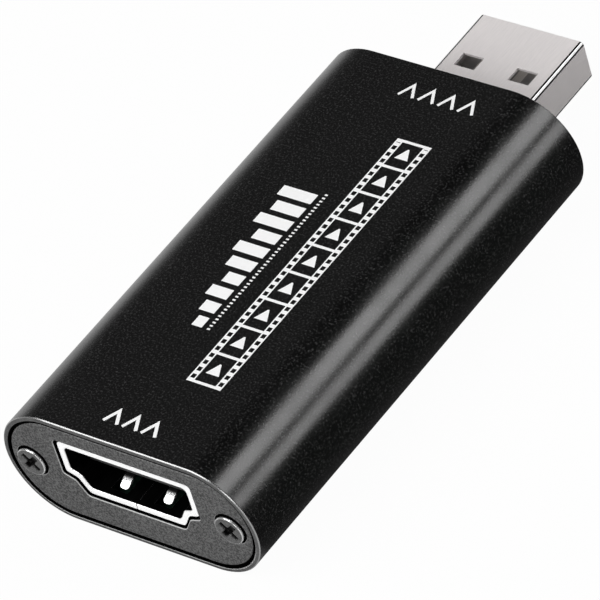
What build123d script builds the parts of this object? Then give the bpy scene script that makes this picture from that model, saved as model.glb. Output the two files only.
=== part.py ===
"""Video capture box: a stadium-section tube with a video socket at one end and a data plug at the other.

The model is in millimetres. Its origin is the middle of the housing's flat underside.
X runs across the box, Y runs along it from the socket to the plug, and Z is up.
"""

import os

from build123d import *

os.makedirs("parts", exist_ok=True)

# Housing: an extruded tube, milled out a little at each end for the plates.
# It is as wide as the socket with a bay for a screw on each side.
housing_length = 53.0
housing_height = 12.8
screw_bay_width = 7.5
housing_wall = 1.1
end_rim_wall = 0.48
end_chamfer = 0.1

# End plates, which sit inside the rim with a dark gap round them
plate_thickness = 1.2
plate_recess = 0.06
plate_clearance = 0.36
plate_edge_chamfer = 0.08

# Plate screws, which cut their thread in channels of the extrusion
screw_from_side = 3.1
screw_thread_d = 2.0
screw_length = 5.0
screw_point = 0.4
screw_head_d = 3.1
screw_head_height = 0.85
screw_head_proud = 0.3
screw_head_chamfer = 0.06
screw_hole_d = 2.3
screw_seat_d = 3.5
screw_clearance = 0.03
cross_width = 0.6
cross_length = 2.2
cross_depth = 0.6
cross_taper_angle = 12.0
cross_inner_r = 0.15
cross_turn = 45.0
channel_wall = 1.0
channel_slit = 0.8

# Video socket: the opening has upright sides, sloping shoulders and a narrower foot
mouth_width = 14.0
mouth_height = 4.55
mouth_side_height = 2.7
mouth_foot_inset = 1.9
shoulder_step = 1.05
shoulder_drop = 0.35
mouth_crown_r = 0.5
mouth_side_r = 0.35
mouth_shoulder_r = 0.8
mouth_foot_r = 0.7
socket_raise = 0.78
socket_recess = 0.3
socket_length = 11.0
socket_sheet = 0.25
socket_stand_off = 0.8
socket_seam = 0.08
lip_flare = 0.65
lip_length = 0.3
lip_lead_in = 0.1
cutout_clearance = 0.27

# Legs of the socket's shell, which go through slots in the board
leg_width = 1.6
leg_first = 4.6
leg_pitch = 5.0
leg_below_board = 0.4
leg_clearance = 0.15

# Retention springs in the socket: sprung tongues in windows of the shell
spring_spacing = 5.0
spring_width = 1.0
spring_window_width = 1.9
spring_window_start = 0.75
spring_tip = 1.36
spring_apex = 2.55
spring_root = 6.3
spring_bulge = 0.45
spring_tip_sink = 0.2
spring_bend_r = 0.8
spring_tip_r = 0.35
spring_gap = 0.05

# Moulding and contacts of the socket
tongue_side_gap = 1.1
tongue_thickness = 1.3
tongue_raise = 0.15
tongue_start = 1.65
tongue_nose = 0.25
moulding_start = 7.4
moulding_fit = 0.05
moulding_tail = 0.4
contact_width = 0.35
contact_thickness = 0.2
contact_pitch = 1.0
contact_start = 0.4
upper_contact_count = 10
lower_contact_count = 9
upper_tail_reach = 0.95
lower_tail_reach = 0.35
tail_foot_end = 1.7

# Data plug: a folded shell round a tongue with four contacts
plug_width = 12.0
plug_height = 4.5
plug_reach = 13.2
plug_length = 18.8
plug_sheet = 0.3
plug_corner_r = 0.4
plug_drop = 1.62
plug_seam = 0.08
plug_opening_clearance = 0.2
plug_window_width = 2.4
plug_window_length = 1.8
plug_window_spacing = 6.3
plug_window_from_tip = 6.2
plug_tongue_thickness = 1.95
plug_tongue_recess = 0.3
plug_cavity_depth = 9.0
plug_fit = 0.04
plug_contact_width = 1.0
plug_contact_thickness = 0.2
plug_contact_outer = 3.5
plug_contact_inner = 1.0
plug_power_start = 1.2
plug_data_start = 2.2
plug_tail_drop_from_back = 0.5
plug_tail_foot = 0.9
plug_leg_width = 1.4
plug_leg_spread = 1.6
plug_leg_from_back = 1.9
plug_leg_below_board = 0.3

# Circuit board, held in slots of the extrusion
board_from_side = 3.2
board_thickness = 1.2
board_end_gap = 0.1
board_side_gap = 0.2
board_top_gap = 0.1
board_corner = 0.6
notch_clearance = 0.15
rail_grip = 1.1
upper_rail_height = 1.0

# Capture chip: a flat square package with leads on four sides
chip_size = 7.0
chip_thickness = 1.4
chip_stand_off = 0.1
chip_draft_angle = 10.0
chip_mark_d = 0.7
chip_mark_depth = 0.08
chip_mark_inset = 1.0
chip_lead_span = 9.0
chip_lead_pitch = 0.5
chip_leads_per_side = 12
chip_lead_width = 0.22
chip_lead_thickness = 0.13
chip_lead_shoulder = 0.3
chip_lead_foot = 0.55
chip_from_chokes = 1.7

# Small parts on the board: length along X, length along Y, and height
memory_size = (3.9, 4.9, 1.45)
memory_lead_span = 6.0
memory_lead_pitch = 1.27
memory_lead_width = 0.42
memory_leads_per_side = 4
memory_lead_thickness = 0.2
memory_lead_height = 0.75
memory_lead_foot = 0.6
memory_stand_off = 0.1
crystal_size = (3.2, 5.0, 0.55)
crystal_lid_inset = 0.25
crystal_lid_height = 0.45
crystal_lid_r = 0.4
regulator_size = (6.5, 3.5, 1.6)
regulator_stand_off = 0.05
regulator_lead_reach = 1.75
regulator_lead_thickness = 0.3
regulator_lead_width = 0.7
regulator_lead_pitch = 2.3
regulator_tab_width = 3.0
regulator_edge_chamfer = 0.25
inductor_size = (4.0, 4.0, 1.8)
inductor_corner = 0.9
inductor_groove_height = 0.5
inductor_groove_depth = 0.35
bulk_capacitor_size = (3.2, 1.6, 1.4)
small_capacitor_size = (1.6, 0.8, 0.8)
small_resistor_size = (1.6, 0.8, 0.45)
choke_size = (1.2, 2.0, 1.0)
choke_count = 4
choke_pitch = 2.2
choke_from_socket = 0.2
surge_array_size = (2.5, 1.0, 0.55)
surge_array_spacing = 13.6
fuse_size = (3.2, 1.6, 0.7)

# Places beside the capture chip: shares of the board's half width and of half the chip's span
crystal_place_shares = (-0.66, 0.1)
bulk_capacitor_place_shares = ((0.66, 0.55), (0.66, 0.05), (0.66, -0.45))
beside_chip_capacitor_place_shares = ((-0.66, 0.85), (-0.66, -0.7), (0.66, -0.85))

# Places between the chip and the plug: shares of the board's half width and of that stretch's length
memory_place_shares = (-0.55, 0.45)
regulator_place_shares = (0.5, 0.5)
fuse_place_shares = (-0.55, 0.84)
inductor_place_shares = (-0.04, 0.45)
small_capacitor_place_shares = (
    (-0.4, 0.08), (-0.2, 0.08), (0.0, 0.08), (0.2, 0.08), (0.4, 0.08), (0.5, 0.9), (0.72, 0.9),
)
small_resistor_place_shares = ((-0.8, 0.08), (0.8, 0.08), (-0.3, 0.8), (-0.04, 0.78), (-0.82, 0.84))

# One overrun serves every cut that goes right through
overrun = 1.0

# Heights and places worked out from the sizes above
housing_width = mouth_width + 2 * screw_bay_width
half_length = housing_length / 2
section_z = housing_height / 2
screw_x = housing_width / 2 - screw_from_side
seat_depth = screw_head_height - screw_head_proud
pocket_depth = plate_recess + plate_thickness
mouth_foot_width = mouth_width - 2 * mouth_foot_inset
tongue_width = mouth_width - 2 * tongue_side_gap
board_width = housing_width - 2 * board_from_side
mouth_y = socket_recess - half_length
mouth_z = section_z + socket_raise
mouth_floor_z = mouth_z - mouth_height / 2
mouth_roof_z = mouth_z + mouth_height / 2
board_top_z = mouth_floor_z - socket_sheet - socket_stand_off
board_floor_z = board_top_z - board_thickness
board_length = housing_length - 2 * (pocket_depth + board_end_gap)
plug_z = section_z - plug_drop
plug_tip_y = half_length + plug_reach
plug_back_y = plug_tip_y - plug_length
plug_inner_floor_z = plug_z - plug_height / 2 + plug_sheet
plug_tongue_top_z = plug_inner_floor_z + plug_tongue_thickness
socket_back_y = mouth_y + socket_length
moulding_back_y = socket_back_y + moulding_tail
free_start_y = moulding_back_y + tail_foot_end
choke_y = free_start_y + choke_from_socket + choke_size[1] / 2
chip_y = choke_y + choke_size[1] / 2 + chip_from_chokes + chip_lead_span / 2
chip_back_y = chip_y + chip_lead_span / 2
plug_stretch = plug_back_y - chip_back_y
tongue_z = mouth_z + tongue_raise
cavity_half_width = plug_width / 2 - plug_sheet - plug_fit


def upright(y, z=0.0):
    """Plane across the box at y, seen from the socket end: local x is X, local y is Z measured from z."""
    return Plane(origin=(0, y, z), x_dir=(1, 0, 0), z_dir=(0, -1, 0))


def beside_chip(place_shares):
    """Point on the board at shares of its half width and of half the capture chip's span."""
    across_share, along_share = place_shares
    return (across_share * board_width / 2, chip_y + along_share * chip_lead_span / 2)


def behind_chip(place_shares):
    """Point on the board at shares of its half width and of the stretch from the chip to the plug."""
    across_share, along_share = place_shares
    return (across_share * board_width / 2, chip_back_y + along_share * plug_stretch)


def moved_out(points, distance):
    """Corners of a clockwise outline after each of its sides has moved outwards by distance."""
    moved = []
    for n, corner in enumerate(points):
        before = (corner - points[n - 1]).normalized()
        after = (points[(n + 1) % len(points)] - corner).normalized()
        out_before = Vector(-before.Y, before.X)
        out_after = Vector(-after.Y, after.X)
        moved.append(corner + (out_before + out_after) * (distance / (1 + out_before.dot(out_after))))
    return moved


def mouth_outline(grow, bend=0.0):
    """Face of the socket's opening about its own centre, its sides moved outwards by grow.

    The corners keep their radii, or take those of the outside of sheet as thick as bend.
    """
    side = mouth_width / 2
    top = mouth_height / 2
    waist = top - mouth_side_height
    points = [
        (-side, top),
        (side, top),
        (side, waist),
        (side - shoulder_step, waist - shoulder_drop),
        (mouth_foot_width / 2, -top),
        (-mouth_foot_width / 2, -top),
        (shoulder_step - side, waist - shoulder_drop),
        (-side, waist),
    ]
    crown, edge, foot = mouth_crown_r + bend, mouth_side_r + bend, mouth_foot_r + bend
    shoulder = mouth_shoulder_r - bend
    radii = [crown, crown, edge, shoulder, foot, foot, shoulder, edge]
    with BuildSketch() as outline:
        with BuildLine():
            FilletPolyline(*moved_out([Vector(*p) for p in points], grow), radius=radii, close=True)
        make_face()
    return outline.sketch


def strip(points, radius, thickness):
    """Face of a bent strip of sheet along points, about its own middle line."""
    with BuildSketch() as face:
        with BuildLine():
            FilletPolyline(*points, radius=radius)
        trace(line_width=thickness)
    return face.sketch


def finish(built, label):
    """Labels a finished piece and writes its file."""
    built.part.label = label
    export_step(built.part, f"parts/{label}.step")


# Housing
board_half = board_width / 2
rail_inner_x = board_half + board_side_gap - rail_grip
rail_width = housing_width / 2 - rail_inner_x
channel_r = screw_thread_d / 2 + screw_clearance + channel_wall
upper_rail_z = board_top_z + board_top_gap - section_z + upper_rail_height / 2
lower_rail_height = board_floor_z
lower_rail_z = board_floor_z / 2 - section_z
with BuildPart() as housing:
    with BuildSketch(upright(-half_length, section_z)) as tube_section:
        SlotOverall(housing_width, housing_height)
        SlotOverall(housing_width - 2 * housing_wall, housing_height - 2 * housing_wall, mode=Mode.SUBTRACT)
        for side in (-1, 1):
            with Locations((side * screw_x, 0)):
                Circle(channel_r)
            with Locations((side * (screw_x + channel_r / 2 + housing_wall / 2), 0)):
                Rectangle(channel_r + housing_wall, 2 * channel_wall)
            with Locations((side * (rail_inner_x + rail_width / 2), upper_rail_z)):
                Rectangle(rail_width, upper_rail_height)
            with Locations((side * (rail_inner_x + rail_width / 2), lower_rail_z)):
                Rectangle(rail_width, lower_rail_height)
            with Locations((side * screw_x, 0)):
                Circle(screw_thread_d / 2 + screw_clearance, mode=Mode.SUBTRACT)
            with Locations((side * (screw_x - channel_r / 2), 0)):
                Rectangle(channel_r, channel_slit, mode=Mode.SUBTRACT)
        SlotOverall(housing_width, housing_height, mode=Mode.INTERSECT)
    extrude(amount=-housing_length)
    for end_y, inward in ((-half_length, -1), (half_length, 1)):
        with BuildSketch(upright(end_y, section_z)):
            SlotOverall(housing_width - 2 * end_rim_wall, housing_height - 2 * end_rim_wall)
        extrude(amount=inward * pocket_depth, mode=Mode.SUBTRACT)
    for end_face in (housing.faces().sort_by(Axis.Y)[0], housing.faces().sort_by(Axis.Y)[-1]):
        chamfer(end_face.outer_wire().edges(), length=end_chamfer)
finish(housing, "housing")


def plate_blank(face_y, inward):
    """Plate in its pocket with both screw seats; face_y is its outer face and inward is +1 or -1 along Y."""
    margin = 2 * (end_rim_wall + plate_clearance)
    with BuildPart() as blank:
        with BuildSketch(upright(face_y, section_z)):
            SlotOverall(housing_width - margin, housing_height - margin)
            with GridLocations(2 * screw_x, 0, 2, 1):
                Circle(screw_hole_d / 2, mode=Mode.SUBTRACT)
        extrude(amount=-inward * plate_thickness)
        with BuildSketch(upright(face_y, section_z)):
            with GridLocations(2 * screw_x, 0, 2, 1):
                Circle(screw_seat_d / 2)
        extrude(amount=-inward * seat_depth, mode=Mode.SUBTRACT)
    return blank.part


# Input end plate
cutout_face = mouth_outline(lip_flare + cutout_clearance)
input_face_y = plate_recess - half_length
input_blank = plate_blank(input_face_y, 1)
with BuildPart() as input_end_plate:
    add(input_blank)
    with BuildSketch(upright(input_face_y, mouth_z)):
        add(cutout_face)
    extrude(amount=-plate_thickness, mode=Mode.SUBTRACT)
    outer_face = input_end_plate.faces().sort_by(Axis.Y)[0]
    chamfer(outer_face.edges(), length=plate_edge_chamfer)
finish(input_end_plate, "input_end_plate")

# Output end plate
output_face_y = half_length - plate_recess
output_blank = plate_blank(output_face_y, -1)
plug_hole_width = plug_width + 2 * plug_opening_clearance
plug_hole_height = plug_height + 2 * plug_opening_clearance
with BuildPart() as output_end_plate:
    add(output_blank)
    with BuildSketch(upright(output_face_y, plug_z)):
        RectangleRounded(plug_hole_width, plug_hole_height, plug_corner_r + plug_opening_clearance)
    extrude(amount=plate_thickness, mode=Mode.SUBTRACT)
    outer_face = output_end_plate.faces().sort_by(Axis.Y)[-1]
    chamfer(outer_face.edges(), length=plate_edge_chamfer)
finish(output_end_plate, "output_end_plate")


def screw_pair(seat_y, inward):
    """Both screws of one plate; seat_y is the underside of their heads and inward is +1 or -1 along Y."""
    thread_r = screw_thread_d / 2
    head_r = screw_head_d / 2
    outline = [
        (0, -screw_head_height),
        (head_r - screw_head_chamfer, -screw_head_height),
        (head_r, screw_head_chamfer - screw_head_height),
        (head_r, 0),
        (thread_r, 0),
        (thread_r, screw_length - screw_point),
        (thread_r - screw_point, screw_length),
        (0, screw_length),
    ]
    with BuildPart() as pair:
        for side in (-1, 1):
            seat = Vector(side * screw_x, seat_y, section_z)
            with BuildSketch(Plane(origin=seat, x_dir=(1, 0, 0), z_dir=(0, 0, inward))):
                with BuildLine():
                    Polyline(*outline, close=True)
                make_face()
            revolve(axis=Axis(seat, (0, inward, 0)))
            head_top = Plane(origin=seat, x_dir=(1, 0, 0), z_dir=(0, inward, 0)).offset(-screw_head_height)
            with BuildSketch(head_top) as cross:
                Rectangle(cross_length, cross_width, rotation=cross_turn)
                Rectangle(cross_width, cross_length, rotation=cross_turn)
                fillet(cross.vertices().group_by(SortBy.DISTANCE)[0], radius=cross_inner_r)
            extrude(amount=cross_depth, taper=cross_taper_angle, mode=Mode.SUBTRACT)
    return pair


input_plate_screws = screw_pair(input_face_y + seat_depth, 1)
finish(input_plate_screws, "input_plate_screws")
output_plate_screws = screw_pair(output_face_y - seat_depth, -1)
finish(output_plate_screws, "output_plate_screws")

# Socket shell
mouth_face = mouth_outline(0)
shell_face = mouth_outline(socket_sheet, socket_sheet)
lip_face = mouth_outline(lip_flare)
spring_axis_y = mouth_y + spring_root
window_start_y = mouth_y + spring_window_start
window_end_y = spring_axis_y + socket_sheet / 2 + spring_gap
window_length = window_end_y - window_start_y
leg_height = mouth_roof_z - mouth_side_height - board_floor_z + leg_below_board
leg_x = mouth_width / 2 + socket_sheet / 2
leg_centre_y = mouth_y + leg_first + leg_pitch / 2
with BuildPart() as socket_shell:
    with BuildSketch(upright(mouth_y, mouth_z)):
        add(shell_face)
        add(mouth_face, mode=Mode.SUBTRACT)
    extrude(amount=-socket_length)
    with BuildSketch(upright(mouth_y, mouth_z)):
        add(lip_face)
        add(mouth_face, mode=Mode.SUBTRACT)
    extrude(amount=-lip_length)
    mouth_ring = socket_shell.faces().sort_by(Axis.Y)[0]
    chamfer(mouth_ring.inner_wires()[0].edges(), length=lip_lead_in)
    with BuildSketch(Plane.XY.offset(board_floor_z - leg_below_board)):
        with Locations((0, leg_centre_y)):
            with GridLocations(2 * leg_x, leg_pitch, 2, 2):
                Rectangle(socket_sheet, leg_width)
    extrude(amount=leg_height + mouth_side_r)
    with BuildSketch(Plane.XY.offset(mouth_floor_z - overrun)):
        with Locations((0, window_start_y + window_length / 2)):
            with GridLocations(spring_spacing, 0, 2, 1):
                Rectangle(spring_window_width, window_length)
    extrude(amount=mouth_height + 2 * overrun, mode=Mode.SUBTRACT)
    with BuildSketch(Plane.XY.offset(mouth_floor_z - overrun)):
        with Locations((0, mouth_y + socket_length / 2)):
            Rectangle(socket_seam, socket_length + overrun)
    extrude(amount=2 * overrun, mode=Mode.SUBTRACT)
finish(socket_shell, "socket_shell")

# Retention springs
spring_sheet_z = socket_sheet / 2
spring_points = [
    (spring_tip, -spring_sheet_z - spring_tip_sink),
    (spring_apex, spring_bulge - spring_sheet_z),
    (spring_root, -spring_sheet_z),
]
spring_profile = strip(spring_points, spring_bend_r, socket_sheet)
for level, floor_z, up in (("lower", mouth_floor_z, 1), ("upper", mouth_roof_z, -1)):
    for side_name, side in (("left", -1), ("right", 1)):
        spring_plane = Plane(
            origin=(side * spring_spacing / 2, mouth_y, floor_z), x_dir=(0, 1, 0), z_dir=(up, 0, 0)
        )
        with BuildPart() as retention_spring:
            with BuildSketch(spring_plane):
                add(spring_profile)
                with Locations((spring_root, -spring_sheet_z)):
                    Circle(socket_sheet / 2)
            extrude(amount=spring_width / 2, both=True)
            tip_face = retention_spring.faces().sort_by(Axis.Y)[0]
            fillet(tip_face.edges().sort_by(Axis.X)[0], radius=spring_tip_r)
            tip_face = retention_spring.faces().filter_by(GeomType.PLANE).sort_by(Axis.Y)[0]
            fillet(tip_face.edges().sort_by(Axis.X)[-1], radius=spring_tip_r)
        finish(retention_spring, f"{level}_{side_name}_spring")


def contact_row(count, surface_z, up, tail_reach):
    """Row of socket contacts on the tongue's upper or lower face, each with a tail down to the board."""
    middle_z = surface_z + up * contact_thickness / 2
    foot_z = board_top_z + contact_thickness / 2
    path = [
        (mouth_y + tongue_start + contact_start, middle_z),
        (moulding_back_y + tail_reach, middle_z),
        (moulding_back_y + tail_reach, foot_z),
        (moulding_back_y + tail_foot_end, foot_z),
    ]
    profile = strip(path, 0, contact_thickness)
    first_x = -(count - 1) * contact_pitch / 2 - contact_width / 2
    with BuildPart() as row:
        with BuildSketch(*[Plane.YZ.offset(first_x + n * contact_pitch) for n in range(count)]):
            add(profile)
        extrude(amount=contact_width)
    return row


# Socket contacts
upper_row_z = tongue_z + tongue_thickness / 2
lower_row_z = tongue_z - tongue_thickness / 2
socket_upper_contacts = contact_row(upper_contact_count, upper_row_z, -1, upper_tail_reach)
finish(socket_upper_contacts, "socket_upper_contacts")
socket_lower_contacts = contact_row(lower_contact_count, lower_row_z, 1, lower_tail_reach)
finish(socket_lower_contacts, "socket_lower_contacts")

# Socket insulator
moulding_face = mouth_outline(-moulding_fit)
moulding_length = socket_length + moulding_tail - moulding_start
tongue_length = moulding_start - tongue_start
with BuildPart() as socket_insulator:
    with BuildSketch(upright(mouth_y + tongue_start, tongue_z)):
        Rectangle(tongue_width, tongue_thickness)
    extrude(amount=-tongue_length)
    nose_face = socket_insulator.faces().sort_by(Axis.Y)[0]
    chamfer(nose_face.edges().filter_by(Axis.X), length=tongue_nose)
    with BuildSketch(upright(mouth_y + moulding_start, mouth_z)):
        add(moulding_face)
    extrude(amount=-moulding_length)
    add(socket_upper_contacts.part, mode=Mode.SUBTRACT)
    add(socket_lower_contacts.part, mode=Mode.SUBTRACT)
finish(socket_insulator, "socket_insulator")

# Plug shell
plug_leg_y = plug_back_y + plug_leg_from_back
plug_leg_outer_x = plug_width / 2 + plug_leg_spread
plug_seam_length = plug_length + overrun
with BuildPart() as plug_shell:
    with BuildSketch(upright(plug_back_y, plug_z)):
        RectangleRounded(plug_width, plug_height, plug_corner_r)
        RectangleRounded(
            plug_width - 2 * plug_sheet,
            plug_height - 2 * plug_sheet,
            plug_corner_r - plug_sheet,
            mode=Mode.SUBTRACT,
        )
    extrude(amount=-plug_length)
    with BuildSketch(Plane.XY.offset(plug_z - plug_height)):
        with Locations((0, plug_tip_y - plug_window_from_tip)):
            with GridLocations(plug_window_spacing, 0, 2, 1):
                Rectangle(plug_window_width, plug_window_length)
    extrude(amount=2 * plug_height, mode=Mode.SUBTRACT)
    with BuildSketch(Plane.XY.offset(plug_z - plug_height)):
        with Locations((0, plug_back_y + plug_length / 2)):
            Rectangle(plug_seam, plug_seam_length)
    extrude(amount=plug_height, mode=Mode.SUBTRACT)
    for side in (-1, 1):
        with BuildSketch(Plane.XY.offset(board_top_z)):
            with Locations((side * (plug_width / 2 + plug_leg_spread / 2), plug_leg_y)):
                Rectangle(plug_leg_spread, plug_leg_width)
        extrude(amount=plug_sheet)
        with BuildSketch(Plane.XY.offset(board_floor_z - plug_leg_below_board)):
            with Locations((side * (plug_leg_outer_x - plug_sheet / 2), plug_leg_y)):
                Rectangle(plug_sheet, plug_leg_width)
        extrude(amount=board_thickness + plug_leg_below_board)
finish(plug_shell, "plug_shell")

# Plug contacts
plug_contact_z = plug_tongue_top_z - plug_contact_thickness / 2
plug_foot_z = board_top_z + plug_contact_thickness / 2
plug_contact_rows = (
    (plug_power_start, (-plug_contact_outer, plug_contact_outer)),
    (plug_data_start, (-plug_contact_inner, plug_contact_inner)),
)
plug_contact_faces = []
for start, places in plug_contact_rows:
    path = [
        (plug_tip_y - start, plug_contact_z),
        (plug_back_y - plug_tail_drop_from_back, plug_contact_z),
        (plug_back_y - plug_tail_drop_from_back, plug_foot_z),
        (plug_back_y - plug_tail_drop_from_back - plug_tail_foot, plug_foot_z),
    ]
    plug_contact_faces.append((strip(path, 0, plug_contact_thickness), places))
with BuildPart() as plug_contacts:
    for profile, places in plug_contact_faces:
        with BuildSketch(*[Plane.YZ.offset(x - plug_contact_width / 2) for x in places]):
            add(profile)
        extrude(amount=plug_contact_width)
finish(plug_contacts, "plug_contacts")

# Plug insulator
plug_block_length = plug_length - plug_cavity_depth
plug_block_height = plug_height - 2 * plug_sheet - 2 * plug_fit
plug_slab_height = plug_tongue_thickness - plug_fit
plug_slab_start_y = plug_tip_y - plug_tongue_recess
with BuildPart() as plug_insulator:
    with BuildSketch(upright(plug_back_y, plug_z)):
        Rectangle(2 * cavity_half_width, plug_block_height)
    extrude(amount=-plug_block_length)
    with BuildSketch(upright(plug_back_y, plug_inner_floor_z + plug_fit + plug_slab_height / 2)):
        Rectangle(2 * cavity_half_width, plug_slab_height)
    extrude(amount=plug_back_y - plug_slab_start_y)
    fillet(plug_insulator.edges().filter_by(Axis.Y), radius=plug_corner_r - plug_sheet)
    add(plug_contacts.part, mode=Mode.SUBTRACT)
finish(plug_insulator, "plug_insulator")

# Circuit board
notch_width = plug_width + 2 * notch_clearance
notch_depth = board_length / 2 - plug_back_y + notch_clearance
leg_slot_width = socket_sheet + 2 * leg_clearance
leg_slot_length = leg_width + 2 * leg_clearance
plug_leg_slot_width = plug_sheet + 2 * leg_clearance
with BuildPart() as circuit_board:
    with BuildSketch(Plane.XY.offset(board_floor_z)) as board_outline:
        Rectangle(board_width, board_length)
        chamfer(board_outline.vertices(), length=board_corner)
        with Locations((0, board_length / 2 - notch_depth / 2)):
            Rectangle(notch_width, notch_depth, mode=Mode.SUBTRACT)
        with Locations((0, leg_centre_y)):
            with GridLocations(2 * leg_x, leg_pitch, 2, 2):
                Rectangle(leg_slot_width, leg_slot_length, mode=Mode.SUBTRACT)
        with Locations((0, plug_leg_y)):
            with GridLocations(2 * plug_leg_outer_x - plug_sheet, 0, 2, 1):
                Rectangle(plug_leg_slot_width, plug_leg_width + 2 * leg_clearance, mode=Mode.SUBTRACT)
    extrude(amount=board_thickness)
finish(circuit_board, "circuit_board")

# Capture chip
chip_floor_z = board_top_z + chip_stand_off
chip_middle_z = chip_floor_z + chip_thickness / 2
chip_top_z = chip_floor_z + chip_thickness
mark_place = chip_size / 2 - chip_mark_inset
with BuildPart() as capture_chip_body:
    with BuildSketch(Plane.XY.offset(chip_middle_z)):
        with Locations((0, chip_y)):
            Rectangle(chip_size, chip_size)
    extrude(amount=chip_thickness / 2, taper=chip_draft_angle)
    with BuildSketch(Plane.XY.offset(chip_middle_z)):
        with Locations((0, chip_y)):
            Rectangle(chip_size, chip_size)
    extrude(amount=-chip_thickness / 2, taper=chip_draft_angle)
    with BuildSketch(Plane.XY.offset(chip_top_z)):
        with Locations((-mark_place, chip_y - mark_place)):
            Circle(chip_mark_d / 2)
    extrude(amount=-chip_mark_depth, mode=Mode.SUBTRACT)
finish(capture_chip_body, "capture_chip_body")

chip_centre = Vector(0, chip_y)
chip_lead_end = chip_lead_span / 2
chip_lead_path = [
    (chip_size / 2, chip_middle_z),
    (chip_size / 2 + chip_lead_shoulder, chip_middle_z),
    (chip_lead_end - chip_lead_foot, board_top_z + chip_lead_thickness / 2),
    (chip_lead_end, board_top_z + chip_lead_thickness / 2),
]
chip_lead_face = strip(chip_lead_path, 0, chip_lead_thickness)
chip_first_lead = -(chip_leads_per_side - 1) * chip_lead_pitch / 2 - chip_lead_width / 2
chip_lead_sides = (((1, 0), (0, -1)), ((-1, 0), (0, 1)), ((0, 1), (1, 0)), ((0, -1), (-1, 0)))
with BuildPart() as capture_chip_leads:
    for (out_x, out_y), (run_x, run_y) in chip_lead_sides:
        outward, along = Vector(out_x, out_y), Vector(run_x, run_y)
        steps = [chip_first_lead + n * chip_lead_pitch for n in range(chip_leads_per_side)]
        planes = [Plane(origin=chip_centre + along * s, x_dir=outward, z_dir=along) for s in steps]
        with BuildSketch(*planes):
            add(chip_lead_face)
        extrude(amount=chip_lead_width)
finish(capture_chip_leads, "capture_chip_leads")

# Memory chip
memory_x, memory_y = behind_chip(memory_place_shares)
memory_width, memory_length, memory_height = memory_size
memory_lead_path = [
    (memory_width / 2, board_top_z + memory_lead_height),
    (memory_lead_span / 2 - memory_lead_foot, board_top_z + memory_lead_height),
    (memory_lead_span / 2 - memory_lead_foot, board_top_z + memory_lead_thickness / 2),
    (memory_lead_span / 2, board_top_z + memory_lead_thickness / 2),
]
memory_lead_face = strip(memory_lead_path, 0, memory_lead_thickness)
memory_first_lead = -(memory_leads_per_side - 1) * memory_lead_pitch / 2 - memory_lead_width / 2
memory_lead_steps = [memory_first_lead + n * memory_lead_pitch for n in range(memory_leads_per_side)]
with BuildPart() as memory_chip:
    with BuildSketch(Plane.XY.offset(board_top_z + memory_stand_off)):
        with Locations((memory_x, memory_y)):
            Rectangle(memory_width, memory_length)
    extrude(amount=memory_height)
    for side in (-1, 1):
        planes = [
            Plane(origin=(memory_x, memory_y - side * s, 0), x_dir=(side, 0, 0), z_dir=(0, -side, 0))
            for s in memory_lead_steps
        ]
        with BuildSketch(*planes):
            add(memory_lead_face)
        extrude(amount=memory_lead_width)
finish(memory_chip, "memory_chip")

# Crystal
crystal_x, crystal_y = beside_chip(crystal_place_shares)
crystal_width, crystal_length, crystal_height = crystal_size
with BuildPart() as crystal_base:
    with BuildSketch(Plane.XY.offset(board_top_z)):
        with Locations((crystal_x, crystal_y)):
            Rectangle(crystal_width, crystal_length)
    extrude(amount=crystal_height)
finish(crystal_base, "crystal_base")
with BuildPart() as crystal_lid:
    with BuildSketch(Plane.XY.offset(board_top_z + crystal_height)):
        with Locations((crystal_x, crystal_y)):
            RectangleRounded(
                crystal_width - 2 * crystal_lid_inset, crystal_length - 2 * crystal_lid_inset, crystal_lid_r
            )
    extrude(amount=crystal_lid_height)
finish(crystal_lid, "crystal_lid")

# Voltage regulator
regulator_x, regulator_y = behind_chip(regulator_place_shares)
regulator_width, regulator_length, regulator_height = regulator_size
regulator_lead_y = regulator_y - regulator_length / 2 - regulator_lead_reach / 2
regulator_tab_y = regulator_y + regulator_length / 2 + regulator_lead_reach / 2
with BuildPart() as voltage_regulator:
    with BuildSketch(Plane.XY.offset(board_top_z + regulator_stand_off)):
        with Locations((regulator_x, regulator_y)):
            Rectangle(regulator_width, regulator_length)
    extrude(amount=regulator_height)
    chamfer(voltage_regulator.faces().sort_by(Axis.Z)[-1].edges(), length=regulator_edge_chamfer)
    with BuildSketch(Plane.XY.offset(board_top_z)):
        with Locations((regulator_x, regulator_lead_y)):
            with GridLocations(regulator_lead_pitch, 0, 3, 1):
                Rectangle(regulator_lead_width, regulator_lead_reach)
        with Locations((regulator_x, regulator_tab_y)):
            Rectangle(regulator_tab_width, regulator_lead_reach)
    extrude(amount=regulator_lead_thickness)
finish(voltage_regulator, "voltage_regulator")

# Power inductor: eight-sided flanges with a waist between them
inductor_x, inductor_y = behind_chip(inductor_place_shares)
inductor_width, inductor_length, inductor_height = inductor_size
inductor_flange = (inductor_height - inductor_groove_height) / 2
waist_width = inductor_width - 2 * inductor_groove_depth
waist_length = inductor_length - 2 * inductor_groove_depth
with BuildSketch() as flange_face:
    Rectangle(inductor_width, inductor_length)
    chamfer(flange_face.vertices(), length=inductor_corner)
with BuildPart() as power_inductor:
    for flange_z in (board_top_z, board_top_z + inductor_height - inductor_flange):
        with BuildSketch(Plane.XY.offset(flange_z)):
            with Locations((inductor_x, inductor_y)):
                add(flange_face.sketch)
        extrude(amount=inductor_flange)
    with BuildSketch(Plane.XY.offset(board_top_z)):
        with Locations((inductor_x, inductor_y)):
            Ellipse(waist_width / 2, waist_length / 2)
    extrude(amount=inductor_height)
finish(power_inductor, "power_inductor")


def board_blocks(size, places, label):
    """Group of equal rectangular parts standing on the board, each a solid of its own."""
    width, length, height = size
    with BuildPart() as blocks:
        with BuildSketch(Plane.XY.offset(board_top_z)):
            with Locations(*places):
                Rectangle(width, length)
        extrude(amount=height)
    finish(blocks, label)


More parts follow.
